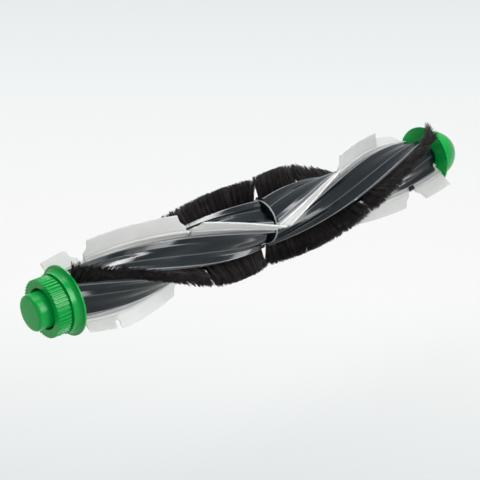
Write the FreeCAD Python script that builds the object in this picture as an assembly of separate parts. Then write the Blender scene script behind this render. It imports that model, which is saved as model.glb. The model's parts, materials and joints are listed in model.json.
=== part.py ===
"""Roller brush of a robot vacuum: a twisted core with blades and bristles between two end caps.

Millimetres. X runs along the brush axis from the drive end to the idle end, Z is up. The origin is on
the axis in the plane of the pulley's front face, where the drive-end cap stands out of the pulley.
Angles are degrees about +X, counted from +Z.
"""
import FreeCAD, Part
import math
import os

# Twisted core halves
half_length = 121.4
half_gap = 2.4
half_twist = 145.7
facet_radius = 11.0
facets_between_rows = 3
first_row_angle = 80.0
facet_stop_length = 3.5
facet_stop_radius = 8.8
end_plate_radius = 12.0
end_plate_thickness = 1.0

# Rows of strips round the core: blade, bristle, blade, bristle
row_count = 4

# Lipped slots that hold the strips
slot_width = 5.2
slot_floor_radius = 8.2
slot_ledge_radius = 10.4
mouth_width = 2.6
lip_radius = 13.0
lip_width = 1.5
lip_foot_angle = 22.0
strip_clearance = 0.1

# Flexible blades
blade_tip_radius = 23.6
blade_bead_radius = 15.0
blade_bead_slope = 0.6
blade_bead_top_width = 1.6
blade_flap_thickness = 1.0
blade_edge_thickness = 0.8
blade_end_gap = 0.8
flap_untwist = 1.0

# Breaks that part the flaps into panels: deep notches, shallow nicks and mere kinks
notch_root_radius = 13.4
notch_root_width = 2.4
notch_flare_radius = 17.4
notch_shoulder_radius = 19.4
notch_shoulder_width = 7.2
notch_edge_width = 8.8
nick_root_radius = 18.3
nick_root_width = 4.8
nick_edge_width = 8.0
kink_width = 2.4
break_widths = {"notch": notch_root_width, "nick": nick_root_width, "kink": kink_width}

# Breaks of each blade by their distances from the middle of the brush
flap_breaks = {
    "drive_1": ((51.5, "notch"), (105.0, "notch")),
    "drive_2": ((52.5, "notch"), (102.0, "nick")),
    "idle_1": ((51.5, "notch"), (96.8, "kink")),
    "idle_2": ((51.5, "notch"), (105.2, "notch")),
}

# Free edges that run lower towards the end of the brush: (distance from the middle, drop)
trimmed_edges = {
    "drive_1": (),
    "drive_2": ((103.0, 1.0), (122.0, 2.6)),
    "idle_1": ((98.0, 2.4), (118.0, 3.9), (122.0, 7.4)),
    "idle_2": (),
}

# Bristles, with the distance of the gap between their runs from the middle of the brush
bristle_tip_radius = 24.2
bristle_tip_width = 5.6
bristle_end_setback = 0.9
bristle_gap_root_width = 5.0
bristle_gap_tip_width = 0.6
bristle_gaps = {
    "drive_1": 49.0,
    "drive_2": 80.0,
    "idle_1": 60.0,
    "idle_2": 37.0,
}

# Drive pulley
tooth_count = 45
tooth_tip_radius = 14.4
tooth_depth = 0.75
tooth_length = 6.9
tooth_tip_share = 0.42
tooth_root_share = 0.62
pulley_groove_radius = 13.0
pulley_groove_width = 1.0
pulley_band_radius = 15.0
pulley_band_length = 2.4
flange_root_slope = 1.7
flange_radius = 17.5
flange_thickness = 1.0
pulley_recess_radius = 10.2

# Axle, and the spigots that line the core halves up on it
axle_radius = 3.0
axle_flat_depth = 0.6
axle_end_length = 0.9
spigot_radius = 6.5
spigot_length = 6.0
spigot_clearance = 0.1
bore_clearance = 0.05

# Drive-end cap
cap_radius = 9.0
cap_stand_out = 6.8
cap_front_wall = 1.8
cap_edge_round = 1.4
cap_pocket_clearance = 0.8

# Idle-end cap: dished guard disc and dome
disc_offset = 4.2
disc_radius = 17.9
disc_rim_thickness = 0.9
disc_dish_depth = 3.0
disc_hub_radius = 8.0
dome_length = 21.0
dome_waist_radius = 13.9
dome_waist_offset = 4.5
dome_nose_radius = 1.0

# Bushes and retaining rings
bush_radius = 5.0
bush_length = 7.0
bush_running_clearance = 0.03
bush_seat_clearance = 0.05
end_float = 0.3
ring_radius = 4.2
ring_thickness = 0.6
ring_gap_angle = 70.0
ring_groove_depth = 0.6
ring_clearance = 0.05

# Fineness of the twisted and the rounded surfaces
facet_turn = 16.5
shortest_facet = 0.3
quarter_steps = 2
crown_steps = 5
dome_sides = 36

# Places along the axis, from the drive end to the idle end
ring_groove_width = ring_thickness + 2 * ring_clearance
cap_front = -cap_stand_out
cap_pocket_floor = cap_front + cap_front_wall
axle_start = cap_pocket_floor + cap_pocket_clearance
drive_groove_start = axle_start + axle_end_length
drive_groove_end = drive_groove_start + ring_groove_width
drive_bush_start = drive_groove_end + end_float
cap_rear = drive_bush_start + bush_length
pulley_hub_face = cap_rear + end_float
groove_end = tooth_length + pulley_groove_width
band_end = groove_end + pulley_band_length
flange_front = band_end + flange_root_slope
flange_back = flange_front + flange_thickness
core_seat = flange_back + spigot_clearance
middle = core_seat + half_length + half_gap / 2
core_end = middle + half_gap / 2 + half_length
disc_plane = core_end + disc_offset
disc_hub_face = disc_plane + disc_dish_depth
idle_neck_end = disc_hub_face - end_float
idle_bush_end = disc_hub_face + bush_length
idle_groove_start = idle_bush_end + end_float
idle_groove_end = idle_groove_start + ring_groove_width
axle_end = idle_groove_end + axle_end_length
idle_pocket_floor = axle_end + cap_pocket_clearance

# Distances out from the middle at which the core halves and the strips start and end
sides = {"drive": -1, "idle": 1}
core_start = half_gap / 2
core_reach = core_start + half_length
bristle_reach = core_reach - bristle_end_setback
blade_reach = {
    "drive": middle - flange_back - blade_end_gap,
    "idle": disc_plane - blade_end_gap - middle,
}
row_pitch = 360.0 / row_count
twist_per_mm = half_twist / half_length
facet_pitch = half_length / math.ceil(half_twist / facet_turn)


def vec(x, y=0.0, z=0.0):
    return FreeCAD.Vector(x, y, z)


def closed(points):
    return Part.makePolygon(points + points[:1])


def cylinder(radius, start, end):
    return Part.makeCylinder(radius, end - start, vec(start), vec(1))


def revolved(profile):
    """Solid of a closed profile of (x, r) points, turned once round the axis."""
    face = Part.Face(closed([vec(x, 0, r) for x, r in profile]))
    return Part.makeSolid(face.revolve(vec(0), vec(1), 360))


def bend(centre, reach, start, end, steps):
    """Points (x, r) along an ellipse's arc, from one angle to another."""
    points = []
    for i in range(steps + 1):
        a = math.radians(start + (end - start) * i / steps)
        points.append((centre[0] + reach[0] * math.cos(a), centre[1] + reach[1] * math.sin(a)))
    return points


def row_angle(row, out):
    """Angle of a row at a distance out from the middle of the brush; both halves trail alike."""
    return first_row_angle + row * row_pitch - twist_per_mm * out


def place(side, out, angle, across, up):
    """Point at a distance out from the middle, up from the axis along a row and across it."""
    a = math.radians(angle)
    y = -up * math.sin(a) - across * math.cos(a)
    z = up * math.cos(a) - across * math.sin(a)
    return vec(middle + sides[side] * out, y, z)


def skinned(rings):
    """Solid between closed rings of points, in flat facets, with a flat face at each end."""
    faces = [Part.Face(closed(rings[0])), Part.Face(closed(rings[-1]))]
    for near, far in zip(rings, rings[1:]):
        for i in range(len(near)):
            faces.append(Part.Face(closed([near[i - 1], near[i], far[i]])))
            faces.append(Part.Face(closed([near[i - 1], far[i], far[i - 1]])))
    shell = Part.makeShell(faces)
    shell.sewShape()
    solid = Part.makeSolid(shell)
    if solid.Volume < 0:
        solid.reverse()
    return solid


def facet_lines(start, end, others=()):
    """Stations of a twisted piece: its ends, others of its own and the facet lines that it crosses."""
    stations = [start, end]
    lines = [core_start + facet_pitch * i for i in range(math.ceil(end / facet_pitch))]
    for out in [*others, *lines]:
        if start < out < end and min(abs(out - station) for station in stations) > shortest_facet:
            stations.append(out)
    return sorted(stations)


def twisted(side, section_at, row, stations):
    """Solid of a section of (across, up) points that turns with its row from station to station."""
    rings = []
    for out in stations:
        angle = row_angle(row, out)
        rings.append([place(side, out, angle, across, up) for across, up in section_at(out)])
    return skinned(rings)


def twisted_bar(side, section, row, start, end):
    """Twisted solid with the same section all along."""
    return twisted(side, lambda out: section, row, facet_lines(start, end))


def cutter(side, row, station, shape, width):
    """Prism across a row: a flat shape of (along, up) points set about a station on the row."""
    angle = row_angle(row, station)
    points = [place(side, station + along, angle, -width / 2, up) for along, up in shape]
    across = place(side, station, angle, width / 2, 0) - place(side, station, angle, -width / 2, 0)
    return Part.Face(closed(points)).extrude(across)


def symmetric(half):
    """A whole section from its right half, listed from the foot up."""
    return half + [(-across, up) for across, up in reversed(half)]


def axle_bar(start, end, clearance):
    """Round bar with a flat along its upper side."""
    radius = axle_radius + clearance
    flat = axle_radius - axle_flat_depth + clearance
    bar = cylinder(radius, start, end)
    return bar.cut(Part.makeBox(end - start, 2 * radius, radius, vec(start, -radius, flat)))


def core_section():
    """Outline of the twisted core: lipped slots with flat facets between them."""
    mouth = mouth_width / 2
    slot = slot_width / 2
    half_slot = [
        (slot, slot_floor_radius),
        (slot, slot_ledge_radius),
        (mouth, slot_ledge_radius),
        (mouth, lip_radius),
        (mouth + lip_width, lip_radius),
    ]
    one_row = [(-across, up) for across, up in reversed(half_slot)] + half_slot
    facet_step = (row_pitch - 2 * lip_foot_angle) / facets_between_rows
    for i in range(facets_between_rows + 1):
        a = math.radians(lip_foot_angle + i * facet_step)
        one_row.append((facet_radius * math.sin(a), facet_radius * math.cos(a)))
    section = []
    for row in range(row_count):
        a = math.radians(row * row_pitch)
        for across, up in one_row:
            turned = across * math.cos(a) + up * math.sin(a)
            raised = up * math.cos(a) - across * math.sin(a)
            section.append((turned, raised))
    return section


def facet_stop(row):
    """Room between two slot rails at the inner end, where the facets stop short of the rails."""
    out = core_start + facet_stop_length
    near = row_angle(row, out) + lip_foot_angle
    far = near + row_pitch - 2 * lip_foot_angle
    corners = ((near, facet_stop_radius), (near, lip_radius), (far, lip_radius), (far, facet_stop_radius))
    face = Part.Face(closed([place("drive", out, angle, 0, up) for angle, up in corners]))
    return face.extrude(vec(facet_stop_length))


def core_drive_half():
    """Twisted half that seats on the pulley, with a spigot that bridges the middle gap."""
    inner = middle - core_start
    spigot_end = inner + half_gap + spigot_length
    body = twisted_bar("drive", core_section(), 0, core_start, core_reach)
    body = body.cut([facet_stop(row) for row in range(row_count)])
    body = body.fuse(cylinder(spigot_radius, inner, spigot_end))
    return body.cut(axle_bar(core_seat, spigot_end, bore_clearance))


def core_idle_half():
    """Twisted half with an end plate, a socket for the spigot and a neck that runs into the disc."""
    inner = middle + core_start
    socket_end = inner + spigot_length + spigot_clearance
    body = twisted_bar("idle", core_section(), 0, core_start + end_plate_thickness, core_reach)
    body = body.fuse(cylinder(end_plate_radius, inner, inner + end_plate_thickness))
    body = body.fuse(cylinder(spigot_radius, core_end, idle_neck_end))
    body = body.cut(cylinder(spigot_radius + spigot_clearance, inner, socket_end))
    return body.cut(axle_bar(socket_end, idle_neck_end, bore_clearance))


def strip_foot():
    """Right half of the part of a strip that lies in a slot, under the ledges."""
    foot = slot_width / 2 - strip_clearance
    return [(foot, slot_floor_radius + strip_clearance), (foot, slot_ledge_radius - strip_clearance)]


def end_plate_room():
    """Space that the strips of the idle half leave to the end plate."""
    inner = middle + core_start
    return cylinder(end_plate_radius + strip_clearance, inner, inner + end_plate_thickness + strip_clearance)


def edge_drop(name, out):
    """How far the free edge of a blade runs below its full radius."""
    points = trimmed_edges[name]
    if not points or out < points[0][0]:
        return 0.0
    for (near, near_drop), (far, far_drop) in zip(points, points[1:]):
        if out < far:
            return near_drop + (far_drop - near_drop) * (out - near) / (far - near)
    return points[-1][1]


def flap_panels(side, name):
    """Starts and ends of the panels of a flap, from break to break."""
    panels = []
    start = core_start
    for station, kind in flap_breaks[name]:
        panels.append((start, station - break_widths[kind] / 2))
        start = station + break_widths[kind] / 2
    return panels + [(start, blade_reach[side])]


def flap_section(name, panels, out):
    """Section of a flap, rooted in the bead and leaning as its panel untwists towards its middle."""
    root = blade_flap_thickness / 2
    edge = blade_edge_thickness / 2
    start, end = min(panels, key=lambda panel: max(panel[0] - out, out - panel[1]))
    lean = math.radians(flap_untwist * twist_per_mm * (out - (start + end) / 2))
    length = blade_tip_radius - edge_drop(name, out) - blade_bead_radius
    tip_across = length * math.sin(lean)
    tip_up = blade_bead_radius + length * math.cos(lean)
    return [
        (root, blade_bead_radius),
        (tip_across + edge * math.cos(lean), tip_up - edge * math.sin(lean)),
        (tip_across - edge * math.cos(lean), tip_up + edge * math.sin(lean)),
        (-root, blade_bead_radius),
    ]


def blade_flap(side, row, name):
    """Thin flap of a blade, in panels that its notches, nicks and kinks part."""
    panels = flap_panels(side, name)
    edges = [out for panel in panels for out in panel]
    trims = [out for out, drop in trimmed_edges[name]]
    stations = facet_lines(edges[0], edges[-1], edges[1:-1] + trims)
    return twisted(side, lambda out: flap_section(name, panels, out), row, stations)


def blade_strip(side, row, name):
    """Blade with a held foot, a thick bead above the lips and a thin flap."""
    neck = mouth_width / 2 - strip_clearance
    half = strip_foot() + [
        (neck, slot_ledge_radius - strip_clearance),
        (neck, blade_bead_radius),
        (blade_bead_top_width / 2, blade_bead_radius + blade_bead_slope),
    ]
    blade = twisted_bar(side, symmetric(half), row, core_start, blade_reach[side])
    blade = blade.fuse(blade_flap(side, row, name))
    past_edge = blade_tip_radius + blade_flap_thickness
    shapes = {
        "notch": symmetric([
            (notch_root_width / 2, notch_root_radius),
            (notch_root_width / 2, notch_flare_radius),
            (notch_shoulder_width / 2, notch_shoulder_radius),
            (notch_edge_width / 2, past_edge),
        ]),
        "nick": symmetric([
            (nick_root_width / 2, nick_root_radius),
            (nick_edge_width / 2, past_edge),
        ]),
    }
    for station, kind in flap_breaks[name]:
        if kind in shapes:
            blade = blade.cut(cutter(side, row, station, shapes[kind], blade_tip_radius))
    if side == "idle":
        blade = blade.cut(end_plate_room())
    return blade


def bristle_backing(side, row):
    """Flat strip in a slot that holds the roots of the bristles."""
    plate = end_plate_thickness + strip_clearance if side == "idle" else 0.0
    return twisted_bar(side, symmetric(strip_foot()), row, core_start + plate, core_reach)


def bristle_gap(side, row, station):
    """Wedge that parts two runs of bristles: wide at the roots, nearly closed at the tips."""
    root = bristle_gap_root_width / 2
    tip = bristle_gap_tip_width / 2
    past_edge = bristle_tip_radius + bristle_tip_width
    shape = [
        (-root, 0),
        (root, 0),
        (tip, bristle_tip_radius),
        (tip, past_edge),
        (-tip, past_edge),
        (-tip, bristle_tip_radius),
    ]
    return cutter(side, row, station, shape, bristle_tip_radius)


def bristle_runs(side, row, station):
    """The inner and the outer run of bristles that stand on one backing."""
    root = mouth_width / 2 - strip_clearance
    half = [
        (root, slot_ledge_radius),
        (root, lip_radius),
        (bristle_tip_width / 2, bristle_tip_radius),
    ]
    runs = twisted_bar(side, symmetric(half), row, bristle_gap_tip_width / 2, bristle_reach)
    runs = runs.cut([bristle_gap(side, row, 0), bristle_gap(side, row, station)])
    if side == "idle":
        runs = runs.cut(end_plate_room())
    return sorted(runs.Solids, key=lambda run: abs(run.CenterOfMass.x - middle))


def tooth_outline():
    """Ring of straight-sided belt teeth in the plane of the pulley's front face."""
    points = []
    root_radius = tooth_tip_radius - tooth_depth
    pitch = 2 * math.pi / tooth_count
    for i in range(tooth_count):
        for radius, share in (
            (root_radius, -tooth_root_share),
            (tooth_tip_radius, -tooth_tip_share),
            (tooth_tip_radius, tooth_tip_share),
            (root_radius, tooth_root_share),
        ):
            a = (i + share / 2) * pitch
            points.append(vec(0, -radius * math.sin(a), radius * math.cos(a)))
    return closed(points)


def drive_pulley():
    """Toothed pulley with a run-off groove, a smooth band and a flange on a sloping root."""
    body = revolved([
        (tooth_length, 0),
        (tooth_length, pulley_groove_radius),
        (groove_end, pulley_groove_radius),
        (groove_end, pulley_band_radius),
        (band_end, pulley_band_radius),
        (flange_front, pulley_band_radius + flange_root_slope),
        (flange_front, flange_radius),
        (flange_back, flange_radius),
        (flange_back, 0),
    ])
    body = body.fuse(Part.Face(tooth_outline()).extrude(vec(tooth_length)))
    body = body.cut(cylinder(pulley_recess_radius, 0, pulley_hub_face))
    return body.cut(axle_bar(pulley_hub_face, flange_back, bore_clearance))


def drive_end_cap():
    """Closed round cap with a softened front edge and a pocket for its bush."""
    edge_centre = (cap_front + cap_edge_round, cap_radius - cap_edge_round)
    pocket = bush_radius + bush_seat_clearance
    return revolved([
        (cap_front, 0),
        *bend(edge_centre, (cap_edge_round, cap_edge_round), 180, 90, quarter_steps),
        (cap_rear, cap_radius),
        (cap_rear, pocket),
        (cap_pocket_floor, pocket),
        (cap_pocket_floor, 0),
    ])


def idle_end_cap():
    """Dished guard disc and dome in one, with a pocket for its bush."""
    waist = disc_plane + dome_waist_offset
    cove_reach = (dome_waist_offset - disc_rim_thickness, disc_radius - dome_waist_radius)
    nose_angle = math.asin(dome_nose_radius / dome_waist_radius)
    crown_length = (dome_length - dome_waist_offset) / math.cos(nose_angle)
    crown_reach = (crown_length, dome_waist_radius)
    profile = [
        (disc_hub_face, disc_hub_radius),
        (disc_plane, disc_radius),
        *bend((waist, disc_radius), cove_reach, 180, 270, quarter_steps),
        *bend((waist, 0), crown_reach, 90, math.degrees(nose_angle), crown_steps)[1:],
    ]
    turns = [2 * math.pi * i / dome_sides for i in range(dome_sides)]
    rings = [[vec(x, -r * math.sin(a), r * math.cos(a)) for a in turns] for x, r in profile]
    pocket = cylinder(bush_radius + bush_seat_clearance, disc_hub_face, idle_pocket_floor)
    return skinned(rings).cut(pocket)


def bush(start):
    """Plain sleeve that the axle runs in."""
    bore = cylinder(axle_radius + bush_running_clearance, start, start + bush_length)
    return cylinder(bush_radius, start, start + bush_length).cut(bore)


def retaining_ring(groove_start):
    """Open spring ring in the groove near an end of the axle."""
    start = groove_start + ring_clearance
    end = start + ring_thickness
    ring = cylinder(ring_radius, start, end)
    ring = ring.cut(cylinder(axle_radius - ring_groove_depth + ring_clearance, start, end))
    half = math.radians(ring_gap_angle / 2)
    side = 2 * ring_radius * math.sin(half)
    down = -2 * ring_radius * math.cos(half)
    opening = Part.Face(closed([vec(start), vec(start, -side, down), vec(start, side, down)]))
    return ring.cut(opening.extrude(vec(ring_thickness)))


def axle():
    """Steel axle: round in the bushes, with a flat between them and a ring groove near each end."""
    groove_radius = axle_radius - ring_groove_depth
    bar = revolved([
        (axle_start, 0),
        (axle_start, axle_radius),
        (drive_groove_start, axle_radius),
        (drive_groove_start, groove_radius),
        (drive_groove_end, groove_radius),
        (drive_groove_end, axle_radius),
        (idle_groove_start, axle_radius),
        (idle_groove_start, groove_radius),
        (idle_groove_end, groove_radius),
        (idle_groove_end, axle_radius),
        (axle_end, axle_radius),
        (axle_end, 0),
    ])
    flat_length = idle_neck_end - pulley_hub_face
    flat_corner = vec(pulley_hub_face, -axle_radius, axle_radius - axle_flat_depth)
    return bar.cut(Part.makeBox(flat_length, 2 * axle_radius, axle_radius, flat_corner))


def build():
    parts = {
        "axle": axle(),
        "drive_pulley": drive_pulley(),
        "drive_end_cap": drive_end_cap(),
        "drive_bush": bush(drive_bush_start),
        "drive_retaining_ring": retaining_ring(drive_groove_start),
        "core_drive_half": core_drive_half(),
        "core_idle_half": core_idle_half(),
        "idle_end_cap": idle_end_cap(),
        "idle_bush": bush(disc_hub_face),
        "idle_retaining_ring": retaining_ring(idle_groove_start),
    }
    for side in sides:
        for number in (1, 2):
            name = f"{side}_{number}"
            blade_row = 2 * (number - 1)
            bristle_row = blade_row + 1
            inner_run, outer_run = bristle_runs(side, bristle_row, bristle_gaps[name])
            parts[f"blade_strip_{name}"] = blade_strip(side, blade_row, name)
            parts[f"bristle_backing_{name}"] = bristle_backing(side, bristle_row)
            parts[f"bristle_tufts_{name}_inner"] = inner_run
            parts[f"bristle_tufts_{name}_outer"] = outer_run
    return parts


os.makedirs("parts", exist_ok=True)
for node, shape in build().items():
    shape.exportStep(f"parts/{node}.step")
    print(node, len(shape.Solids), shape.isValid(), round(shape.Volume, 1))
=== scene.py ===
"""Dressed scene of a robot vacuum's roller brush, on the frame of its solids.

X runs along the brush axis from the drive end to the idle end and Z is up. Sizes of the brush are
millimetres, and points become metres where a mesh is made. The floor and the lamps are in metres.
Angles are degrees about +X, counted from +Z.
"""

import json
import math
import random

import bmesh
import bpy
from mathutils import Matrix, Vector


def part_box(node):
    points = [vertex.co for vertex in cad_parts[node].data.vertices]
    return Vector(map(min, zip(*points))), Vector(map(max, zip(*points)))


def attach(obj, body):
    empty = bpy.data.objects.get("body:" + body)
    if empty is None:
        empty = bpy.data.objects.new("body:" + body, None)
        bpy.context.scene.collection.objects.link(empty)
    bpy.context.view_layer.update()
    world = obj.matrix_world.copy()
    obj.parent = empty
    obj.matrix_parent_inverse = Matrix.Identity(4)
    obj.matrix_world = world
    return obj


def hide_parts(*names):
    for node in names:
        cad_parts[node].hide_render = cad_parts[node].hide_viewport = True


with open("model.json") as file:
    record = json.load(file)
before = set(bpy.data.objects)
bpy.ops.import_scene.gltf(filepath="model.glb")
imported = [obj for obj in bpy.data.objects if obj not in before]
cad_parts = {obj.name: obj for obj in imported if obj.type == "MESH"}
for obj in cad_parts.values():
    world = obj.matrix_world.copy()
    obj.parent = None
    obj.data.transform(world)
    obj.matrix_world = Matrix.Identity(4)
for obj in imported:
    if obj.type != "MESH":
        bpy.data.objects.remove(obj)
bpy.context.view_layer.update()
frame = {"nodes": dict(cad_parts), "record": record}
MM = 0.001

# Twist of the rows: blade, bristle, blade, bristle
half_twist = 145.7
first_row_angle = 80.0
row_pitch = 90.0

# Halves of the brush, and which way each runs along the axis from the middle
sides = {"drive": -1, "idle": 1}

# Meshes: steps along the axis and round it, softened corners, and how forms are joined
ring_step = 1.1
round_segments = 144
bore_segments = 48
corner_share = 0.4
sharp_angle = 32.0
never_sharp = 180.0
seam = 0.05
weld_distance = 0.001

# Section of the core
facet_radius = 11.0
facets_between_rows = 3
lip_foot_angle = 22.0
slot_width = 5.2
slot_floor_radius = 8.2
slot_ledge_radius = 10.4
mouth_width = 2.6
lip_radius = 13.0
lip_width = 1.5
core_edge_softness = 0.5

# Painted highlights on the core: shares of a pale colour along its edges, full along the edges of
# the lips and the end plate
lip_top_highlight = 0.45
facet_edge_highlight = 0.3

# Ends of the core at the middle of the brush
facet_stop_length = 3.5
facet_stop_radius = 8.8
facet_stop_slope = 1.0
end_plate_radius = 12.0
end_plate_thickness = 1.0
end_plate_softness = 0.25

# Spigots and bores
spigot_radius = 6.5
spigot_clearance = 0.1
axle_radius = 3.0
axle_flat_depth = 0.6
bore_clearance = 0.05
bush_radius = 5.0
bush_seat_clearance = 0.05
end_float = 0.3
cap_pocket_clearance = 0.8

# Room round the strips in their slots
strip_clearance = 0.1

# Blades
blade_tip_radius = 23.6
blade_bead_radius = 15.0
blade_bead_slope = 0.6
blade_bead_top_width = 1.6
blade_flap_thickness = 1.0
blade_edge_thickness = 0.8
blade_edge_softness = 0.2
# Painted shade on the blades: the sides of the bead, where the dark slot would show through the
# silicone, and a grey line at the flap's root
bead_shade_fade = 0.35
flap_root_shade = 0.5
flap_root_reach = 0.9
cliff = 0.02
inner_lean_shares = (0.5, 0.7)

# Stop that fills the gap in the idle half's second blade
stop_row = 2
stop_place = 105.2
stop_length = 3.2
stop_width = 3.2
stop_root_radius = 11.0
stop_tip_radius = 15.2

# Breaks in the flaps: half the gap that each leaves between panels, and where they stand
panel_gaps = {"notch": 1.2, "slot": 1.9, "nick": 2.4, "kink": 1.2}
flap_breaks = {
    "drive_1": ((51.5, "notch"), (105.0, "notch")),
    "drive_2": ((52.5, "notch"), (102.0, "nick")),
    "idle_1": ((51.5, "notch"), (96.8, "kink")),
    "idle_2": ((51.5, "notch"), (stop_place, "slot")),
}
notch_floor_radius = 10.2
notch_step_radius = 17.4
notch_shoulder = (3.6, 19.4)
notch_mouth = 4.4
nick_floor_radius = 18.3
nick_mouth = 4.0
past_edge = blade_tip_radius + blade_flap_thickness

# Free edges that run lower towards the end of the brush: (distance from the middle, drop)
edge_drops = {
    "drive_1": ((0.0, 0.0),),
    "drive_2": ((102.0, 0.0), (103.0, 1.0), (122.0, 2.6)),
    "idle_1": ((95.6, 0.0), (98.0, 2.4), (118.0, 3.9), (122.0, 7.4)),
    "idle_2": ((0.0, 0.0),),
}

# Bristles: sizes of a run, and how it leans, sways, fans out and spreads at its open end
bristle_root_radius = 11.0
bristle_tip_radius = 24.2
bristle_tip_width = 5.6
bristle_root_lean = 2.1
bristle_lean_fade = 4.0
bristle_end_splay = {"drive": 0.8, "idle": 2.5}
bristle_end_sway = {"drive_1": 4.0, "idle_1": 4.0, "drive_2": 0.0, "idle_2": 0.0}
bristle_end_fan = {"drive_1": 1.8, "idle_1": 1.6, "drive_2": 0.0, "idle_2": 0.0}
bristle_end_lift = {"drive_1": 0.0, "idle_1": 1.2, "drive_2": 0.0, "idle_2": 0.0}
bristle_end_spread = {"drive_1": 0.0, "idle_1": 0.8, "drive_2": 0.0, "idle_2": 0.0}
bristle_fan_reach = 8.0

# Fibres, in clumps: places along one as shares of its length, and powers by which it bends
clumps_per_mm = 9
fibres_per_clump = 7
fibre_corners = 3
fibre_shares = (0.0, 0.55, 1.0)
fibre_lean_power = 1.5
fibre_tilt_power = 2
fibre_radius = 0.12
fibre_taper = 0.35
clump_size = 0.22
clump_sway = 0.42
fibre_sway = 0.2
clump_shortfall = 0.6
fibre_shortfall = 0.4
clump_tone_weight = 0.6
clump_tone_power = 3
fibre_tone_weight = 0.4
fibre_tone_power = 2

# Pulley
tooth_count = 45
tooth_tip_radius = 14.4
tooth_depth = 0.75
tooth_length = 6.9
tooth_tip_share = 0.42
tooth_root_share = 0.62
tooth_softness = 0.07
pulley_groove_radius = 13.0
pulley_groove_width = 1.0
pulley_band_radius = 15.0
pulley_band_length = 2.4
flange_cove_radius = 1.7
flange_cove_steps = 8
flange_face_width = 0.5
flange_back_width = 1.0
pulley_recess_radius = 10.2
edge_softness = 0.25

# End caps
cap_edge_round = 1.4
cap_edge_steps = 10
cap_front_wall = 1.8
disc_rim_thickness = 0.9
disc_rim_width = 0.6
disc_rim_dish = 0.2
disc_rim_softness = 0.2
disc_cove_steps = 10
disc_dish_depth = 3.0
disc_hub_radius = 8.0
dome_waist_radius = 13.9
dome_waist_offset = 4.5
dome_steps = 24


def span(node):
    """Lowest and highest place of a solid along the axis."""
    low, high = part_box(node)
    return low.x / MM, high.x / MM


def radius_of(node):
    """Outer radius of a round solid."""
    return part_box(node)[1].z / MM


def notch_shape(gap):
    """Gap down through the bead, with sloping shoulders at the free edge."""
    return (
        (0.0, notch_floor_radius),
        (gap, notch_floor_radius),
        (gap + cliff, notch_step_radius),
        notch_shoulder,
        (notch_mouth, past_edge),
    )


# Outlines of the breaks: (half width, radius) from the middle of the break outwards
break_shapes = {
    "notch": notch_shape(panel_gaps["notch"]),
    "slot": notch_shape(panel_gaps["slot"]),
    "nick": (
        (0.0, nick_floor_radius),
        (panel_gaps["nick"], nick_floor_radius),
        (nick_mouth, past_edge),
    ),
    "kink": ((0.0, past_edge), (panel_gaps["kink"], past_edge)),
}

# Places along the axis, from the solids
core_span = {
    "drive": span("bristle_backing_drive_1"),
    "idle": (span("core_idle_half")[0], span("bristle_backing_idle_1")[1]),
}
middle = (core_span["drive"][1] + core_span["idle"][0]) / 2
core_start = core_span["idle"][0] - middle
core_reach = core_span["idle"][1] - middle
twist_per_mm = half_twist / (core_reach - core_start)
body_of = {n: body for body, nodes in frame["record"]["behaviour"]["bodies"].items() for n in nodes}


class Solid:
    """A closed mesh made from loops of points, with a share of painted light on each point for its
    material: painted highlight on the core, painted shade on the blades.
    """

    def __init__(self):
        """Starts an empty mesh with no painted light on its points."""
        self.bm = bmesh.new()
        self.painted_light = self.bm.verts.layers.float.new("painted_light")

    def loop(self, points, painted_lights=()):
        """Adds a loop of points; shares of painted light, where given, say how far its material
        changes at each.
        """
        verts = [self.bm.verts.new(Vector(p) * MM) for p in points]
        for vert, painted_light in zip(verts, painted_lights):
            vert[self.painted_light] = painted_light
        return verts

    def bridge(self, near, far):
        """Faces between two loops; a loop of one point makes a fan."""
        for i in range(max(len(near), len(far))):
            if len(far) == 1:
                self.bm.faces.new((near[i - 1], near[i], far[0]))
            elif len(near) == 1:
                self.bm.faces.new((near[0], far[i], far[i - 1]))
            else:
                self.bm.faces.new((near[i - 1], near[i], far[i], far[i - 1]))

    def skin(self, loops):
        """Faces from each loop to the next."""
        for near, far in zip(loops, loops[1:]):
            self.bridge(near, far)

    def bar(self, loops):
        """Skin over loops, with flat ends."""
        self.skin(loops)
        self.fill(loops[0])
        self.fill(loops[-1])

    def fill(self, *loops):
        """Flat face inside the first loop and outside the others."""
        edges = []
        for loop in loops:
            for i in range(len(loop)):
                pair = (loop[i - 1], loop[i])
                edges.append(self.bm.edges.get(pair) or self.bm.edges.new(pair))
        bmesh.ops.triangle_fill(self.bm, use_beauty=True, edges=edges)

    def stand_for(self, node, finish):
        """Makes the object that replaces a solid, on the same body."""
        bmesh.ops.remove_doubles(self.bm, verts=self.bm.verts, dist=weld_distance * MM)
        bmesh.ops.recalc_face_normals(self.bm, faces=self.bm.faces)
        mesh = bpy.data.meshes.new(f"{node}_form")
        self.bm.to_mesh(mesh)
        self.bm.free()
        show(mesh, node, finish, sharp_angle)


def show(mesh, node, finish, sharp):
    """Makes a piece of a mesh, with its finish, smooth up to an angle between faces."""
    mesh.shade_smooth()
    mesh.set_sharp_from_angle(angle=math.radians(sharp))
    mesh.materials.append(finish)
    piece = bpy.data.objects.new(f"{node}_form", mesh)
    bpy.context.scene.collection.objects.link(piece)
    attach(piece, body_of[node])
    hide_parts(node)


def softened(points, size, closed=True, steps=2):
    """Rounds the corners of an outline, each by at most a share of its shorter edge."""
    points = [Vector(p) for p in points]
    result = []
    for i, p in enumerate(points):
        if not closed and i in (0, len(points) - 1):
            result.append(p)
            continue
        before = points[i - 1] - p
        after = points[(i + 1) % len(points)] - p
        reach = min(size, corner_share * before.length, corner_share * after.length)
        a = p + before.normalized() * reach
        b = p + after.normalized() * reach
        for j in range(steps + 1):
            t = j / steps
            result.append(a * (1 - t) ** 2 + p * 2 * t * (1 - t) + b * t ** 2)
    return result


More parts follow.
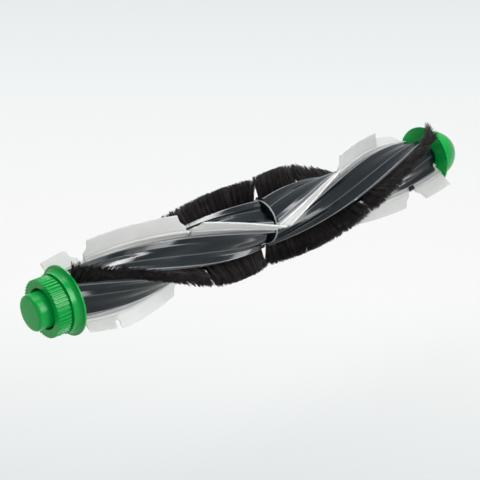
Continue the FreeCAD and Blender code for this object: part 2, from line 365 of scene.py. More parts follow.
def bend(centre, reach, start, end, steps):
    """Points (x, r) along an ellipse's arc, from one angle to another."""
    points = []
    for i in range(steps + 1):
        a = math.radians(start + (end - start) * i / steps)
        points.append((centre[0] + reach[0] * math.cos(a), centre[1] + reach[1] * math.sin(a)))
    return points


def ring(x, radius, count=round_segments, flat=None):
    """Circle round the axis, or a single point on it; flat cuts off its top at that height."""
    if radius == 0:
        return [(x, 0, 0)]
    points = []
    for i in range(count):
        a = 2 * math.pi * i / count
        z = radius * math.cos(a)
        points.append((x, -radius * math.sin(a), z if flat is None else min(z, flat)))
    return points


def bore_ring(x):
    """Outline of the axle's bore, with its flat."""
    flat = axle_radius - axle_flat_depth + bore_clearance
    return ring(x, axle_radius + bore_clearance, bore_segments, flat)


def turned(solid, profile):
    """Loops of a profile of (x, r) points round the axis."""
    loops = [solid.loop(ring(x, r)) for x, r in profile]
    solid.skin(loops)
    return loops


def row_angle(row, out):
    """Angle of a row at a distance out from the middle; both halves twist away from there."""
    return first_row_angle + row * row_pitch - twist_per_mm * out


def place(side, out, angle, across, up):
    """Point at a distance out from the middle, up from the axis along a row and across it."""
    a = math.radians(angle)
    y = -up * math.sin(a) - across * math.cos(a)
    z = up * math.cos(a) - across * math.sin(a)
    return (middle + sides[side] * out, y, z)


def section_at(side, row, out, section):
    """A section of (across, up) points, set on a row at a distance out from the middle."""
    angle = row_angle(row, out)
    return [place(side, out, angle, p[0], p[1]) for p in section]


def evenly(start, end, step):
    """Places from start to end, evenly spaced by about a step."""
    count = max(1, round((end - start) / step))
    return [start + (end - start) * i / count for i in range(count + 1)]


def symmetric(half):
    """Outline from its right half, with the left half mirrored."""
    return half + [(-across, up) for across, up in reversed(half)]


def between(points, x):
    """Value at a place along a line of (place, value) points, which runs level past its ends."""
    if x <= points[0][0]:
        return points[0][1]
    for (a, low), (b, high) in zip(points, points[1:]):
        if x <= b:
            return low + (high - low) * (x - a) / (b - a)
    return points[-1][1]


# Materials: the part of a noise that is used, and the colour sockets of a mix node
noise_range = (0.3, 0.7)
mix_from, mix_to, mix_result = 6, 7, 2


def material(name, **values):
    """Node material with constant values on its shader; returns it, its nodes, links and shader."""
    made = bpy.data.materials.new(name)
    made.use_nodes = True
    nodes = made.node_tree.nodes
    shader = nodes["Principled BSDF"]
    for socket, value in values.items():
        shader.inputs[socket.replace("_", " ")].default_value = value
    return made, nodes, made.node_tree.links, shader


def noise(nodes, links, scale, detail=4.0, stretch=(1, 1, 1)):
    """Noise over the piece's own coordinates, with scale in cycles a metre."""
    place_node = nodes.new("ShaderNodeTexCoord")
    mapping = nodes.new("ShaderNodeMapping")
    mapping.inputs["Scale"].default_value = stretch
    texture = nodes.new("ShaderNodeTexNoise")
    texture.inputs["Scale"].default_value = scale
    texture.inputs["Detail"].default_value = detail
    links.new(place_node.outputs["Object"], mapping.inputs["Vector"])
    links.new(mapping.outputs["Vector"], texture.inputs["Vector"])
    return texture.outputs["Fac"]


def ranged(nodes, links, source, low, high):
    """A value that follows a noise from one number to another."""
    stretch = nodes.new("ShaderNodeMapRange")
    stretch.inputs["From Min"].default_value = noise_range[0]
    stretch.inputs["From Max"].default_value = noise_range[1]
    stretch.inputs["To Min"].default_value = low
    stretch.inputs["To Max"].default_value = high
    links.new(source, stretch.inputs["Value"])
    return stretch.outputs["Result"]


def tinted(nodes, links, source, dark, light):
    """A colour that follows a value from 0 to 1 between two colours."""
    ramp = nodes.new("ShaderNodeValToRGB")
    ramp.color_ramp.elements[0].color = (*dark, 1)
    ramp.color_ramp.elements[1].color = (*light, 1)
    links.new(source, ramp.inputs["Fac"])
    return ramp.outputs["Color"]


def grained(nodes, links, shader, source, strength, distance):
    """Fine relief on a surface that follows a noise, to a depth in metres."""
    bump = nodes.new("ShaderNodeBump")
    bump.inputs["Strength"].default_value = strength
    bump.inputs["Distance"].default_value = distance
    links.new(source, bump.inputs["Height"])
    links.new(bump.outputs["Normal"], shader.inputs["Normal"])


def with_painted_light(nodes, links, plain, painted_tone):
    """A colour that goes over to another tone, a painted highlight on the core and painted shade on
    the blades, by the share of painted light on the points of a piece.
    """
    painted_light = nodes.new("ShaderNodeAttribute")
    painted_light.attribute_name = "painted_light"
    mix = nodes.new("ShaderNodeMix")
    mix.data_type = "RGBA"
    links.new(painted_light.outputs["Fac"], mix.inputs["Factor"])
    links.new(plain, mix.inputs[mix_from])
    mix.inputs[mix_to].default_value = (*painted_tone, 1)
    return mix.outputs[mix_result]


def green_plastic():
    """Glossy green moulding, with a slight cloud and a fine grain."""
    made, nodes, links, shader = material("green_plastic", Specular_IOR_Level=0.25)
    cloud = noise(nodes, links, scale=60)
    grain = noise(nodes, links, scale=2600, detail=2.0)
    share = ranged(nodes, links, cloud, low=0, high=1)
    colour = tinted(nodes, links, share, dark=(0.0, 0.36, 0.055), light=(0.001, 0.4, 0.065))
    links.new(colour, shader.inputs["Base Color"])
    links.new(ranged(nodes, links, cloud, low=0.2, high=0.26), shader.inputs["Roughness"])
    grained(nodes, links, shader, grain, strength=0.03, distance=0.00002)
    return made


def core_plastic():
    """Glossy slate moulding drawn along the axis, with painted highlights in a pale tone along its
    edges.
    """
    made, nodes, links, shader = material("core_plastic", Specular_IOR_Level=0.32)
    drawn = noise(nodes, links, scale=160, detail=2.0, stretch=(0.1, 1, 1))
    share = ranged(nodes, links, drawn, low=0, high=1)
    plain = tinted(nodes, links, share, dark=(0.006, 0.01, 0.012), light=(0.011, 0.016, 0.019))
    # Painted highlights: the pale tone along the edges of the lips, the facets and the end plate
    colour = with_painted_light(nodes, links, plain, painted_tone=(0.3, 0.31, 0.33))
    links.new(colour, shader.inputs["Base Color"])
    links.new(ranged(nodes, links, drawn, low=0.15, high=0.2), shader.inputs["Roughness"])
    grain = noise(nodes, links, scale=1500, detail=2.0)
    grained(nodes, links, shader, grain, strength=0.015, distance=0.00002)
    return made


def blade_silicone():
    """Milky silicone that lets some light through, with painted shade on the sides of its bead and
    at the flap's root.
    """
    made, nodes, links, shader = material(
        "blade_silicone", Specular_IOR_Level=0.4, Subsurface_Weight=0.7, Subsurface_Scale=0.004,
        Subsurface_Radius=(1, 1, 1), Alpha=0.83,
    )
    cloud = noise(nodes, links, scale=90)
    share = ranged(nodes, links, cloud, low=0, high=1)
    plain = tinted(nodes, links, share, dark=(0.72, 0.718, 0.688), light=(0.76, 0.758, 0.728))
    # Painted shade: a darker grey on the sides of the bead and at the flap's root
    colour = with_painted_light(nodes, links, plain, painted_tone=(0.52, 0.525, 0.51))
    links.new(colour, shader.inputs["Base Color"])
    links.new(ranged(nodes, links, cloud, low=0.28, high=0.38), shader.inputs["Roughness"])
    grain = noise(nodes, links, scale=1400, detail=2.0)
    grained(nodes, links, shader, grain, strength=0.06, distance=0.00003)
    return made


def bristle_fibre():
    """Black nylon, with a tone and a gloss of its own for each fibre."""
    made, nodes, links, shader = material("bristle_fibre", Specular_IOR_Level=0.2)
    attribute = nodes.new("ShaderNodeAttribute")
    attribute.attribute_name = "tone"
    tone = attribute.outputs["Fac"]
    colour = tinted(nodes, links, tone, dark=(0.002, 0.0013, 0.0013), light=(0.05, 0.041, 0.039))
    links.new(colour, shader.inputs["Base Color"])
    links.new(ranged(nodes, links, tone, low=0.55, high=0.4), shader.inputs["Roughness"])
    return made


def backing_plastic():
    """Dull black strip that holds the bristles."""
    made, nodes, links, shader = material("backing_plastic")
    rough = noise(nodes, links, scale=900)
    colour = tinted(nodes, links, rough, dark=(0.008, 0.008, 0.008), light=(0.02, 0.019, 0.018))
    links.new(colour, shader.inputs["Base Color"])
    links.new(ranged(nodes, links, rough, low=0.5, high=0.65), shader.inputs["Roughness"])
    return made


def ground_steel():
    """Steel with grinding marks round the axis."""
    made, nodes, links, shader = material("ground_steel", Metallic=1.0)
    drawn = noise(nodes, links, scale=1800, detail=3.0, stretch=(1, 0.06, 0.06))
    colour = tinted(nodes, links, drawn, dark=(0.46, 0.47, 0.49), light=(0.62, 0.63, 0.65))
    links.new(colour, shader.inputs["Base Color"])
    links.new(ranged(nodes, links, drawn, low=0.22, high=0.36), shader.inputs["Roughness"])
    return made


def sintered_bronze():
    """Bronze with the small grains of pressed powder."""
    made, nodes, links, shader = material("sintered_bronze", Metallic=1.0)
    grains = noise(nodes, links, scale=5200, detail=2.0)
    colour = tinted(nodes, links, grains, dark=(0.42, 0.25, 0.1), light=(0.66, 0.44, 0.2))
    links.new(colour, shader.inputs["Base Color"])
    links.new(ranged(nodes, links, grains, low=0.35, high=0.5), shader.inputs["Roughness"])
    grained(nodes, links, shader, grains, strength=0.3, distance=0.00004)
    return made


green = green_plastic()
slate = core_plastic()
silicone = blade_silicone()
nylon = bristle_fibre()
backing = backing_plastic()
steel = ground_steel()
bronze = sintered_bronze()


# Core halves


def core_section(stopped):
    """Outline of the core and its shares of painted highlight: lipped slots with facets, or room
    where these stop.
    """
    mouth = mouth_width / 2
    slot = slot_width / 2
    half_slot = [
        (slot, slot_floor_radius),
        (slot, slot_ledge_radius),
        (mouth, slot_ledge_radius),
        (mouth, lip_radius),
        (mouth + lip_width, lip_radius),
    ]
    one_row = [(-across, up) for across, up in reversed(half_slot)] + half_slot
    first, last = lip_foot_angle, row_pitch - lip_foot_angle
    if stopped:
        facets = [
            (first, facet_radius),
            (first + facet_stop_slope, facet_stop_radius),
            (last - facet_stop_slope, facet_stop_radius),
            (last, facet_radius),
        ]
    else:
        facet_angles = evenly(first, last, (last - first) / facets_between_rows)
        facets = [(a, facet_radius) for a in facet_angles]
    one_row += [(r * math.sin(math.radians(a)), r * math.cos(math.radians(a))) for a, r in facets]
    # Three shares of painted highlight a corner, one for each of its softened points: ten corners a
    # slot, four for facets
    plain = (0, 0, 0)
    lip_highlights = [(0, 1, lip_top_highlight), (lip_top_highlight, 1, 0)]
    slot_highlights = lip_highlights + [plain] * 6 + lip_highlights
    facet_highlight = (0, facet_edge_highlight, 0)
    facet_highlights = ([plain, plain, facet_highlight, plain], [plain, facet_highlight, plain, plain])
    section = []
    painted_lights = []
    for row in range(round(360 / row_pitch)):
        turn = Matrix.Rotation(-math.radians(row * row_pitch), 2)
        section += [turn @ Vector(p) for p in one_row]
        for corner_highlights in slot_highlights + facet_highlights[row % 2]:
            painted_lights += corner_highlights
    return softened(section, core_edge_softness), painted_lights


def core_half(side, start, stop=0.0):
    """Skin of a twisted half, its facets stopped for a length; returns it with its end loops."""
    solid = Solid()
    stations = [(out, True) for out in evenly(start, start + stop, ring_step)] if stop else []
    stations += [(out, False) for out in evenly(start + stop, core_reach, ring_step)]
    sections = {stopped: core_section(stopped) for stopped in (True, False)}
    loops = []
    for out, stopped in stations:
        section, painted_lights = sections[stopped]
        loops.append(solid.loop(section_at(side, 0, out, section), painted_lights))
    solid.skin(loops)
    return solid, loops[0], loops[-1]


def core_drive_half():
    """Half with a spigot at the middle of the brush, where its facets stop short."""
    solid, inner, outer = core_half("drive", core_start, facet_stop_length)
    spigot_ends = (core_span["drive"][1], span("core_drive_half")[1])
    spigot = turned(solid, [(x, spigot_radius) for x in spigot_ends])
    bore = [solid.loop(bore_ring(x)) for x in span("core_drive_half")]
    solid.skin(bore)
    solid.fill(inner, spigot[0])
    solid.fill(spigot[1], bore[1])
    solid.fill(outer, bore[0])
    solid.stand_for("core_drive_half", slate)


def core_idle_half():
    """Half with an end plate and a socket at the middle, a neck at its end and a blade's stop."""
    plate_start = core_span["idle"][0]
    plate_end = plate_start + end_plate_thickness
    solid, inner, outer = core_half("idle", core_start + end_plate_thickness - seam)
    socket_end = span("core_drive_half")[1] + spigot_clearance
    neck_end = span("core_idle_half")[1]
    socket_radius = spigot_radius + spigot_clearance
    socket = turned(solid, [(x, socket_radius) for x in (plate_end - seam, socket_end)])
    neck = turned(solid, [(x, spigot_radius) for x in (core_span["idle"][1], neck_end)])
    bore = [solid.loop(bore_ring(x)) for x in (socket_end, neck_end)]
    solid.skin(bore)
    solid.fill(inner, socket[0])
    solid.fill(socket[1], bore[0])
    solid.fill(outer, neck[0])
    solid.fill(neck[1], bore[1])
    plate_bore = spigot_radius + 2 * spigot_clearance
    # End plate, with a painted highlight in the pale tone round its rim
    edge = [
        (plate_start, plate_bore, 0),
        (plate_start, end_plate_radius - 2 * end_plate_softness, 0),
        (plate_start, end_plate_radius - end_plate_softness, 1),
        (plate_start + end_plate_softness, end_plate_radius, 1),
        (plate_end - end_plate_softness, end_plate_radius, 1),
        (plate_end, end_plate_radius - end_plate_softness, 0),
        (plate_end, plate_bore, 0),
    ]
    plate = [solid.loop(ring(x, r), [painted_light] * round_segments) for x, r, painted_light in edge]
    solid.skin(plate + plate[:1])
    half_stop = [(stop_width / 2, stop_root_radius), (stop_width / 2, stop_tip_radius)]
    stop_ends = (stop_place - stop_length / 2, stop_place + stop_length / 2)
    solid.bar([
        solid.loop(section_at("idle", stop_row, out, symmetric(half_stop))) for out in stop_ends
    ])
    solid.stand_for("core_idle_half", slate)


# Strips


def strip_foot():
    """Right side of a strip's foot, under the lips."""
    foot = slot_width / 2 - strip_clearance
    return [
        (foot, slot_floor_radius + strip_clearance),
        (foot, slot_ledge_radius - strip_clearance),
    ]


def reach_of(node):
    """Distances out from the middle at which a strip starts and ends."""
    low, high = span(node)
    return sorted((abs(low - middle), abs(high - middle)))


def flap_leans(name, start, end):
    """Lean of a flap along it: each panel untwists towards its own middle, the inner one less."""
    leans = []
    for station, kind in [*flap_breaks[name], (end, None)]:
        gap = panel_gaps.get(kind, 0.0)
        half = twist_per_mm * (station - gap - start) / 2
        in_share, out_share = (1.0, 1.0) if leans else inner_lean_shares
        leans += [(start, -half * in_share), (station - gap, half * out_share)]
        start = station + gap
    return leans


def blade_strip(side, row, name):
    """Blade with a held foot, a thick bead above the lips and a thin flap in leaning panels."""
    node = f"blade_strip_{name}"
    start, end = reach_of(node)
    neck = mouth_width / 2 - strip_clearance
    bead_top = blade_bead_radius + blade_bead_slope
    half = strip_foot() + [
        (neck, slot_ledge_radius - strip_clearance),
        (neck, lip_radius + bead_shade_fade),
        (neck, lip_radius + 2 * bead_shade_fade),
        (neck, blade_bead_radius - bead_shade_fade),
        (neck, blade_bead_radius),
        (blade_bead_top_width / 2, bead_top),
    ]
    # Painted shade at each point of the half outline: full on the sides of the bead, part at the
    # flap's root
    half_shades = [0, 0, 0, 0, 1, 1, 0, 0, flap_root_shade, 0, 0, 0]
    leans = flap_leans(name, start, end)
    plate_end = core_start + end_plate_thickness + strip_clearance
    outs = evenly(start, end, ring_step)
    outs += [out for out, value in (*leans, *edge_drops[name])]
    for station, kind in flap_breaks[name]:
        outs += [station + turn * away for away, radius in break_shapes[kind] for turn in (-1, 1)]
    if side == "idle":
        outs += [plate_end, plate_end + cliff]
    solid = Solid()
    loops = []
    for out in sorted({round(out, 3) for out in outs if start <= out <= end}):
        top = min(
            between(break_shapes[kind], abs(out - station)) for station, kind in flap_breaks[name]
        )
        low = end_plate_radius + strip_clearance if side == "idle" and out <= plate_end else 0.0
        lean = math.radians(between(leans, out))
        reach = blade_tip_radius - between(edge_drops[name], out) - blade_bead_radius
        reach = max(min(reach, (top - blade_bead_radius) / math.cos(lean)), 0.0)
        right = [(across, min(max(up, low), top)) for across, up in half]
        left = [(-across, up) for across, up in reversed(right)]
        section = right + flap_section(lean, reach, min(bead_top, top)) + left
        loops.append(solid.loop(section_at(side, row, out, section), half_shades + half_shades[::-1]))
    solid.bar(loops)
    solid.stand_for(node, silicone)


def flap_section(lean, reach, root_up):
    """Outline of a flap from the right side of its root, round its free edge, to the left side."""
    root = blade_flap_thickness / 2
    edge = blade_edge_thickness / 2
    root_reach = (root_up - blade_bead_radius) / math.cos(lean)
    along = Vector((math.sin(lean), math.cos(lean)))
    across = Vector((math.cos(lean), -math.sin(lean)))
    if reach <= root_reach + blade_edge_softness:
        return [(root, root_up)] * 4 + [(-root, root_up)] * 4
    pivot = Vector((0.0, blade_bead_radius))
    root_end = min(root_reach + flap_root_reach, reach - blade_edge_softness)
    half = [
        along * root_reach + across * root,
        along * root_end + across * root,
        along * (reach - blade_edge_softness) + across * edge,
        along * reach + across * (edge - blade_edge_softness),
    ]
    left = [p - across * (2 * p.dot(across)) for p in reversed(half)]
    return [tuple(pivot + p) for p in half + left]


def bristle_backing(side, row, name):
    """Strip under the lips of a slot, which holds the roots of its bristles."""
    solid = Solid()
    node = f"bristle_backing_{name}"
    section = symmetric(strip_foot())
    outs = evenly(*reach_of(node), ring_step)
    solid.bar([solid.loop(section_at(side, row, out, section)) for out in outs])
    solid.stand_for(node, backing)


def bristle_run(side, row, name, place_in_row):
    """Fibres of one run in clumps, rooted in the slot and spread at the tips."""
    node = f"bristle_tufts_{name}_{place_in_row}"
    open_end = place_in_row == "outer"
    chance = random.Random(node)
    start, end = reach_of(node)
    root_start = start + bristle_root_lean
    root_end = end if open_end else end - bristle_root_lean
    end_lean = bristle_end_splay[side] if open_end else bristle_root_lean
    far_end = end + bristle_end_splay[side] if open_end else end
    root_width = mouth_width / 2 - 2 * strip_clearance
    verts = []
    faces = []
    tones = []
    clump_count = round((end - start) * clumps_per_mm)
    for clump in range(clump_count):
        clump_out = root_start + (root_end - root_start) * (clump + chance.random()) / clump_count
        clump_side = chance.uniform(-1, 1)
        sway = clump_sway
        tip_width = bristle_tip_width / 2
        at_end = math.exp((clump_out - root_end) / bristle_lean_fade)
        if open_end:
            tip_width *= 1 + bristle_end_spread[name] * at_end
            sway *= 1 + bristle_end_sway[name] * at_end
        clump_lean = end_lean * at_end
        clump_lean -= bristle_root_lean * math.exp((root_start - clump_out) / bristle_lean_fade)
        clump_lean += chance.gauss(0, sway)
        clump_tilt = chance.gauss(0, sway)
        if open_end:
            from_end = (root_end - clump_out) / bristle_fan_reach
            clump_tilt += bristle_end_fan[name] * from_end * math.exp(1 - from_end)
            clump_tilt -= bristle_end_lift[name] * at_end
        clump_tip = bristle_tip_radius - abs(chance.gauss(0, clump_shortfall))
        clump_tone = clump_tone_weight * chance.random() ** clump_tone_power
        for fibre in range(fibres_per_clump):
            root_out = min(max(clump_out + chance.gauss(0, clump_size), root_start), root_end)
            root_side = min(max(clump_side + chance.gauss(0, clump_size), -1), 1)
            lean = clump_lean + chance.gauss(0, fibre_sway)
            tilt = clump_tilt + chance.gauss(0, fibre_sway)
            tip_radius = clump_tip - abs(chance.gauss(0, fibre_shortfall))
            tone = clump_tone + fibre_tone_weight * chance.random() ** fibre_tone_power
            rings = []
            for share in fibre_shares:
                up = bristle_root_radius + (tip_radius - bristle_root_radius) * share
                out = min(root_out + lean * share ** fibre_lean_power, far_end)
                width = root_width + (tip_width - root_width) * share
                across = root_side * width + tilt * share ** fibre_tilt_power
                thick = fibre_radius * (1 - fibre_taper * share)
                angle = row_angle(row, out)
                rings.append([len(verts) + corner for corner in range(fibre_corners)])
                for corner in range(fibre_corners):
                    a = 2 * math.pi * corner / fibre_corners
                    along, beside = thick * math.cos(a), thick * math.sin(a)
                    point = place(side, out + along, angle, across + beside, up)
                    verts.append(Vector(point) * MM)
            for near, far in zip(rings, rings[1:]):
                for j in range(fibre_corners):
                    k = (j + 1) % fibre_corners
                    faces.append((near[j], near[k], far[k], far[j]))
            faces += [rings[0][::-1], rings[-1]]
            tones += [tone] * (len(rings) * fibre_corners)
    mesh = bpy.data.meshes.new(f"{node}_form")
    mesh.from_pydata(verts, [], faces)
    mesh.attributes.new("tone", "FLOAT", "POINT").data.foreach_set("value", tones)
    show(mesh, node, nylon, never_sharp)


# Ends


def tooth_ring(x, inset):
    """Ring of belt teeth, with their corners softened and their tips lowered by an inset."""
    points = []
    root_radius = tooth_tip_radius - tooth_depth
    pitch = 2 * math.pi / tooth_count
    for i in range(tooth_count):
        for radius, share in (
            (root_radius, -tooth_root_share),
            (tooth_tip_radius - inset, -tooth_tip_share),
            (tooth_tip_radius - inset, tooth_tip_share),
            (root_radius, tooth_root_share),
        ):
            a = (i + share / 2) * pitch
            points.append((-radius * math.sin(a), radius * math.cos(a)))
    return [(x, p[0], p[1]) for p in softened(points, tooth_softness)]


def drive_pulley():
    """Belt teeth, a groove, a smooth band that runs into a flange, and a recess for the cap."""
    front, back = span("drive_pulley")
    flange_radius = radius_of("drive_pulley")
    groove_end = tooth_length + pulley_groove_width
    band_end = groove_end + pulley_band_length
    flange_front = band_end + flange_cove_radius
    hub_face = span("drive_end_cap")[1] + end_float
    solid = Solid()
    teeth = [
        solid.loop(tooth_ring(x, inset))
        for x, inset in ((front, tooth_softness), (front + tooth_softness, 0), (tooth_length, 0))
    ]
    solid.skin(teeth)
    cove_centre = (band_end, pulley_band_radius + flange_cove_radius)
    cove = bend(cove_centre, (flange_cove_radius,) * 2, 270, 360, flange_cove_steps)
    body = softened(
        [
            (tooth_length, pulley_groove_radius),
            (groove_end, pulley_groove_radius),
            (groove_end, pulley_band_radius),
        ],
        edge_softness, closed=False,
    )
    rim = softened(
        [
            (flange_front, flange_radius - flange_face_width),
            (flange_front, flange_radius),
            (back, flange_radius),
            (back, flange_radius - flange_back_width),
        ],
        edge_softness, closed=False,
    )
    outside = turned(solid, [tuple(p) for p in body] + cove + [tuple(p) for p in rim])
    recess = turned(
        solid,
        [
            (front, pulley_recess_radius + edge_softness),
            (front + edge_softness, pulley_recess_radius),
            (hub_face, pulley_recess_radius),
        ],
    )
    bore = [solid.loop(bore_ring(x)) for x in (hub_face, back)]
    solid.skin(bore)
    solid.fill(teeth[0], recess[0])
    solid.fill(teeth[-1], outside[0])
    solid.fill(recess[-1], bore[0])
    solid.fill(outside[-1], bore[1])
    solid.stand_for("drive_pulley", green)


def drive_end_cap():
    """Round cap with a rounded front edge and a pocket for its bush."""
    front, back = span("drive_end_cap")
    radius = radius_of("drive_end_cap")
    pocket = bush_radius + bush_seat_clearance
    floor = front + cap_front_wall
    edge_centre = (front + cap_edge_round, radius - cap_edge_round)
    edge = bend(edge_centre, (cap_edge_round,) * 2, 180, 90, cap_edge_steps)
    solid = Solid()
    turned(
        solid,
        [(front, 0), *edge, (back, radius), (back, pocket), (floor, pocket), (floor, 0)],
    )
    solid.stand_for("drive_end_cap", green)


def idle_end_cap():
    """Dished disc that runs into a dome, with a pocket for its bush."""
    disc, tip = span("idle_end_cap")
    radius = radius_of("idle_end_cap")
    hub = disc + disc_dish_depth
    waist = disc + dome_waist_offset
    pocket = bush_radius + bush_seat_clearance
    floor = span("axle")[1] + cap_pocket_clearance
    cove_reach = (dome_waist_offset - disc_rim_thickness, radius - dome_waist_radius)
    rim = softened(
        [
            (disc + disc_rim_dish, radius - disc_rim_width),
            (disc, radius),
            (disc + disc_rim_thickness, radius),
        ],
        disc_rim_softness, closed=False,
    )
    solid = Solid()
    turned(
        solid,
        [
            (floor, 0),
            (floor, pocket),
            (hub, pocket),
            (hub, disc_hub_radius),
            *[tuple(p) for p in rim],
            *bend((waist, radius), cove_reach, 180, 270, disc_cove_steps)[1:],
            *bend((waist, 0), (tip - waist, dome_waist_radius), 90, 0, dome_steps)[1:-1],
            (tip, 0),
        ],
    )
    solid.stand_for("idle_end_cap", green)


def hidden_pieces():
    """Finishes of the pieces inside the caps and the core, which keep their solids."""
    for node, finish in (
        ("axle", steel),
        ("drive_bush", bronze),
        ("idle_bush", bronze),
        ("drive_retaining_ring", steel),
        ("idle_retaining_ring", steel),
    ):
        mesh = frame["nodes"][node].data
        mesh.materials.clear()
        mesh.materials.append(finish)


core_drive_half()
core_idle_half()
drive_pulley()
drive_end_cap()
idle_end_cap()
hidden_pieces()
for side in sides:
    for number in (1, 2):
        name = f"{side}_{number}"
        blade_row = 2 * (number - 1)
        blade_strip(side, blade_row, name)
        bristle_backing(side, blade_row + 1, name)
        for place_in_row in ("inner", "outer"):
            bristle_run(side, blade_row + 1, name, place_in_row)


# Camera, at the photograph's place and view
camera_place = Vector((-291.4, -473.9, 322.1)) * MM
camera_right = Vector((0.7535, -0.6574, 0.0)).normalized()
camera_forward = Vector((0.5831, 0.6683, -0.4620)).normalized()
camera_lens = 102.6
camera_sensor = 36.0


def add_camera():
    """Camera set by its right and forward directions."""
    data = bpy.data.cameras.new("camera")
    data.lens = camera_lens
    data.sensor_width = camera_sensor
    camera = bpy.data.objects.new("camera", data)
    up = camera_right.cross(camera_forward)
    turn = Matrix((camera_right, up, -camera_forward)).transposed()
    camera.matrix_world = Matrix.Translation(camera_place) @ turn.to_4x4()
    bpy.context.scene.collection.objects.link(camera)
    bpy.context.scene.camera = camera


def add_light(name, place_at, target, size, power, colour=(1, 1, 1), lights=True, reflects=True):
    """Soft rectangular lamp; one that doesn't light is only reflected, and the other way round."""
    data = bpy.data.lights.new(name, "AREA")
    data.shape = "RECTANGLE"
    data.size, data.size_y = size
    data.energy = power
    data.color = colour
    lamp = bpy.data.objects.new(name, data)
    lamp.location = place_at
    lamp.rotation_euler = (Vector(target) - Vector(place_at)).to_track_quat("-Z", "Y").to_euler()
    lamp.visible_camera = False
    lamp.visible_diffuse = lights
    lamp.visible_glossy = reflects
    bpy.context.scene.collection.objects.link(lamp)


# Floor and world; the floor's tones, painted light that is lightest under the brush, stand at
# distances along a line away from the camera
floor_reach = 60.0
floor_height = -0.12
floor_glow = 0.9
floor_depth_direction = (0.6574, 0.7535, 0.0)
floor_painted_tones = (
    (0.03, (0.785, 0.81, 0.81)),
    (0.13, (0.885, 0.9, 0.9)),
    (0.22, (0.94, 0.94, 0.94)),
    (0.36, (0.94, 0.94, 0.94)),
    (0.55, (0.915, 0.932, 0.932)),
    (0.85, (0.83, 0.865, 0.875)),
)
world_colour = (0.95, 0.97, 1.0)
world_strengths = (0.34, 0.7)


def pale(nodes, links, colour, shader, share):
    """Shows a colour to the camera and to reflections, with some of the lit surface's shade."""
    path = nodes.new("ShaderNodeLightPath")
    seen = path.outputs["Is Camera Ray"]
    for kind in ("Is Glossy Ray", "Is Transmission Ray"):
        either = nodes.new("ShaderNodeMath")
        either.operation = "MAXIMUM"
        links.new(seen, either.inputs[0])
        links.new(path.outputs[kind], either.inputs[1])
        seen = either.outputs[0]
    part = nodes.new("ShaderNodeMath")
    part.operation = "MULTIPLY"
    part.inputs[1].default_value = share
    links.new(seen, part.inputs[0])
    glow = nodes.new("ShaderNodeEmission")
    links.new(colour, glow.inputs["Color"])
    mix = nodes.new("ShaderNodeMixShader")
    links.new(part.outputs[0], mix.inputs["Fac"])
    links.new(shader.outputs[0], mix.inputs[1])
    links.new(glow.outputs[0], mix.inputs[2])
    return mix


def floor_painted_light(nodes, links):
    """Pale sweep with painted light: lightest under the brush, a little darker in front of it and
    behind it.
    """
    place_node = nodes.new("ShaderNodeTexCoord")
    depth = nodes.new("ShaderNodeVectorMath")
    depth.operation = "DOT_PRODUCT"
    depth.inputs[1].default_value = floor_depth_direction
    links.new(place_node.outputs["Object"], depth.inputs[0])
    ramp = nodes.new("ShaderNodeValToRGB")
    stops = ramp.color_ramp.elements
    for i, (at, tone) in enumerate(floor_painted_tones):
        stop = stops[i] if i < 2 else stops.new(at)
        stop.position = at
        stop.color = (*tone, 1)
    links.new(depth.outputs["Value"], ramp.inputs["Fac"])
    return ramp.outputs["Color"]


def add_floor():
    """Level pale floor, far enough under the brush for a faint shadow."""
    mesh = bpy.data.meshes.new("floor")
    corners = ((-1, -1), (1, -1), (1, 1), (-1, 1))
    verts = [(x * floor_reach, y * floor_reach, floor_height) for x, y in corners]
    mesh.from_pydata(verts, [], [(0, 1, 2, 3)])
    floor = bpy.data.objects.new("floor", mesh)
    bpy.context.scene.collection.objects.link(floor)
    made, nodes, links, shader = material("floor_pale", Roughness=0.9)
    colour = floor_painted_light(nodes, links)
    links.new(colour, shader.inputs["Base Color"])
    mix = pale(nodes, links, colour, shader, floor_glow)
    links.new(mix.outputs[0], nodes["Material Output"].inputs["Surface"])
    mesh.materials.append(made)


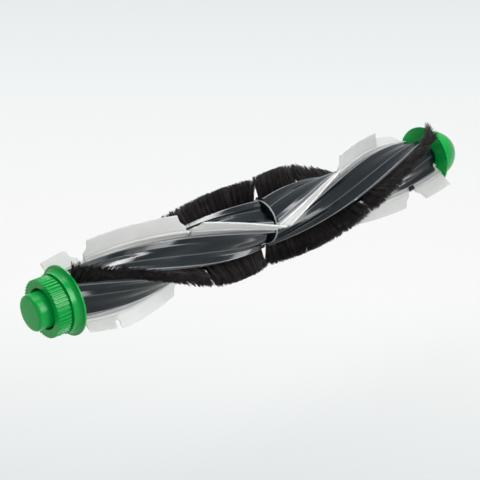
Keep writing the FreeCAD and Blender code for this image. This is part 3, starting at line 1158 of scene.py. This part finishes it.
def add_world():
    """Plain studio light, a little weaker from the drive end than from the idle end."""
    world = bpy.data.worlds.new("studio")
    bpy.context.scene.world = world
    world.use_nodes = True
    nodes, links = world.node_tree.nodes, world.node_tree.links
    background = nodes["Background"]
    background.inputs["Color"].default_value = (*world_colour, 1)
    place_node = nodes.new("ShaderNodeTexCoord")
    along = nodes.new("ShaderNodeSeparateXYZ")
    strength = nodes.new("ShaderNodeMapRange")
    strength.inputs["From Min"].default_value = -1
    strength.inputs["From Max"].default_value = 1
    strength.inputs["To Min"].default_value = world_strengths[0]
    strength.inputs["To Max"].default_value = world_strengths[1]
    links.new(place_node.outputs["Generated"], along.inputs["Vector"])
    links.new(along.outputs["X"], strength.inputs["Value"])
    links.new(strength.outputs["Result"], background.inputs["Strength"])


add_camera()
add_floor()
add_world()
add_light(
    "top_softbox", place_at=(0.05, 0.25, 0.9), target=(0.14, 0, 0), size=(0.9, 0.5), power=3.7,
)
add_light(
    "left_softbox", place_at=(-0.7, -0.3, 0.6), target=(0.1, 0, 0), size=(0.5, 0.7), power=0.1,
)
add_light(
    "over_softbox", place_at=(0.222, 0.13, 0.21), target=(0.1, 0, 0), size=(0.08, 0.14), power=0.32,
    colour=(0.96, 0.95, 1.0),
)
add_light(
    "front_softbox", place_at=(0.125, -0.23, 0.15), target=(0.0, 0, 0), size=(0.15, 0.15),
    power=0.37,
)
add_light(
    "idle_fill", place_at=(0.32, -0.22, 0.3), target=(0.23, 0, 0), size=(0.2, 0.2), power=0.26,
    reflects=False,
)
add_light(
    "front_card", place_at=(0.285, -0.1, -0.09), target=(0.17, 0, 0), size=(0.12, 0.08), power=0.2,
    lights=False,
)
add_light(
    "side_card", place_at=(0.165, -0.21, 0.22), target=(0.165, 0, 0), size=(0.07, 0.3), power=0.5,
    lights=False,
)
add_light(
    "back_card", place_at=(0.19, 0.15, 0.19), target=(0.19, 0, 0), size=(0.055, 0.26), power=0.5,
    lights=False,
)

bpy.context.scene.view_settings.view_transform = "Standard"
